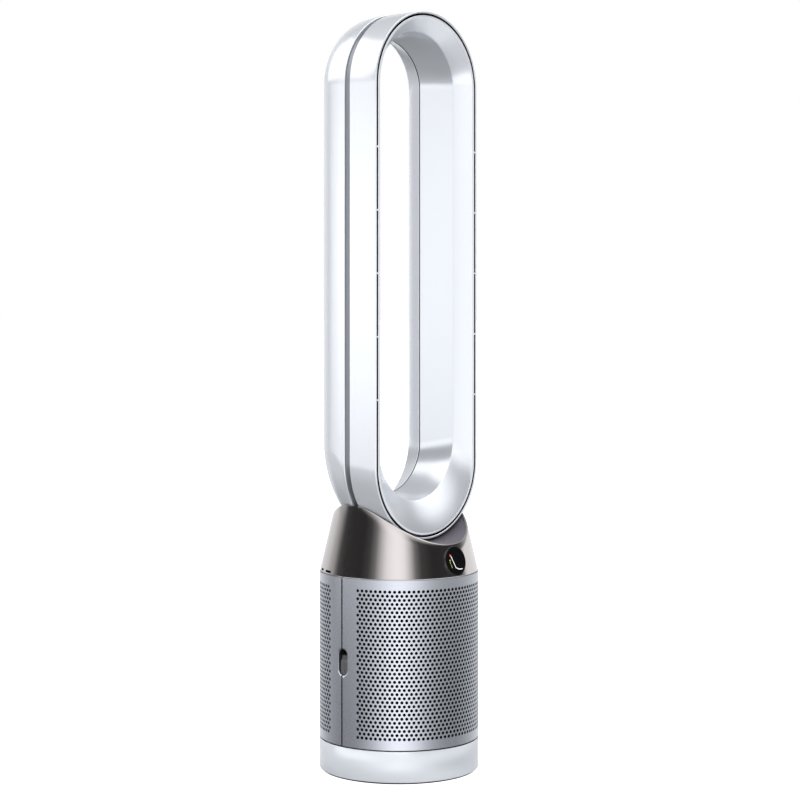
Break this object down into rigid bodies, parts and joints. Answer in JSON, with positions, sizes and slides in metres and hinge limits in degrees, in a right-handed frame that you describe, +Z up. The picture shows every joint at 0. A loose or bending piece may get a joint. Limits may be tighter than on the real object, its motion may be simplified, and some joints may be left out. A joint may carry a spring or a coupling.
{
  "type": "bladeless tower fan",
  "caption": "Bladeless tower fan and air purifier: round swivelling base, perforated filter body, conical housing with round display, tall oval air loop.",
  "frame": {"origin": "centre of the base on the floor", "axes": "+Z up along the swivel axis, the fan blows towards -Y, +X is its right side seen from the front"},
  "size_m": [0.222, 0.222, 1.054],
  "materials": {
    "white": "satin-gloss cool white moulded plastic",
    "nickel": "brushed warm nickel",
    "silver": "satin cool silver metallic",
    "grey": "matte grey moulded plastic",
    "dark": "matte near-black plastic",
    "glass": "glossy black display cover",
    "steel": "bright steel",
    "board": "green circuit board",
    "paper": "white pleated filter paper",
    "carbon": "black carbon layer",
    "rubber": "black rubber",
    "violet": "matte violet frame"
  },
  "bodies": {
    "base": {"foot_ring": "rubber", "base_plate": "dark", "base_ring": "white", "base_deck": "grey", "glide_ring": "grey", "hub_bush": "grey", "swivel_motor": "steel", "power_board": "board", "cord_gland": "rubber", "base_screw_1": "steel", "base_screw_2": "steel", "base_screw_3": "steel", "base_screw_4": "steel"},
    "pinion": {"swivel_pinion": "grey"},
    "column": {"turntable": "grey", "hub_gear": "grey", "hub_retainer": "steel", "side_post_left": "grey", "side_post_right": "grey", "button_spring_left": "steel", "button_spring_right": "steel", "upper_deck": "grey", "bucket_gasket": "rubber", "motor_bucket": "grey", "inlet_bellmouth": "grey", "motor_housing": "steel", "diffuser": "grey", "upper_housing": "nickel", "saddle_liner": "nickel", "display_bezel": "grey", "display_board": "board", "main_board": "board", "sensor_module": "dark", "loop_neck": "grey", "flap_motor": "dark", "loop_front_shell": "white", "loop_inner_wall": "white", "loop_rear_shell": "white", "loop_groove_band": "silver"},
    "air_mover": {"impeller": "dark", "motor_shaft": "steel"},
    "display": {"display_lens": "glass"},
    "button_left": {"release_button_left": "silver"},
    "button_right": {"release_button_right": "silver"},
    "shroud_front": {"shroud_front": "silver"},
    "shroud_rear": {"shroud_rear": "silver"},
    "filter_front": {"filter_frame_front": "violet", "filter_pleats_front": "paper", "carbon_layer_front": "carbon"},
    "filter_rear": {"filter_frame_rear": "violet", "filter_pleats_rear": "paper", "carbon_layer_rear": "carbon"},
    "flap": {"airflow_flap": "grey"}
  },
  "joints": [
    {"name": "swivel", "type": "hinge", "parent": "base", "child": "column", "pos_m": [0, 0, 0.045], "axis": [0, 0, 1], "range_deg": [-175, 175]},
    {"name": "pinion_spin", "type": "hinge", "parent": "base", "child": "pinion", "pos_m": [0, 0.05, 0.03], "axis": [0, 0, 1], "range_deg": [-701, 701]},
    {"name": "impeller_spin", "type": "hinge", "parent": "column", "child": "air_mover", "pos_m": [0, 0, 0.14], "axis": [0, 0, 1], "continuous": true},
    {"name": "display_press", "type": "slide", "parent": "column", "child": "display", "axis": [0, 0.9737, -0.2278], "range_m": [0, 0.0012], "stiffness_N_per_m": 900, "springref_m": -0.0012},
    {"name": "button_left_press", "type": "slide", "parent": "column", "child": "button_left", "axis": [0, 0, -1], "range_m": [0, 0.004], "stiffness_N_per_m": 400, "springref_m": -0.004, "deforming": ["button_spring_left"]},
    {"name": "button_right_press", "type": "slide", "parent": "column", "child": "button_right", "axis": [0, 0, -1], "range_m": [0, 0.004], "stiffness_N_per_m": 400, "springref_m": -0.004, "deforming": ["button_spring_right"]},
    {"name": "shroud_front_slide", "type": "slide", "parent": "column", "child": "shroud_front", "axis": [0, -1, 0], "range_m": [0, 0.22]},
    {"name": "shroud_rear_slide", "type": "slide", "parent": "column", "child": "shroud_rear", "axis": [0, 1, 0], "range_m": [0, 0.22]},
    {"name": "filter_front_slide", "type": "slide", "parent": "column", "child": "filter_front", "axis": [0, -1, 0], "range_m": [0, 0.11]},
    {"name": "filter_rear_slide", "type": "slide", "parent": "column", "child": "filter_rear", "axis": [0, 1, 0], "range_m": [0, 0.11]},
    {"name": "flap_turn", "type": "hinge", "parent": "column", "child": "flap", "pos_m": [0, 0, 0.29445], "axis": [1, 0, 0], "range_deg": [-40, 40]}
  ],
  "couplings": [
    {"joint": "pinion_spin", "follows": "swivel", "ratio": -4},
    {"joint": "filter_front_slide", "follows": "shroud_front_slide", "ratio": 0.5},
    {"joint": "filter_rear_slide", "follows": "shroud_rear_slide", "ratio": 0.5}
  ]
}
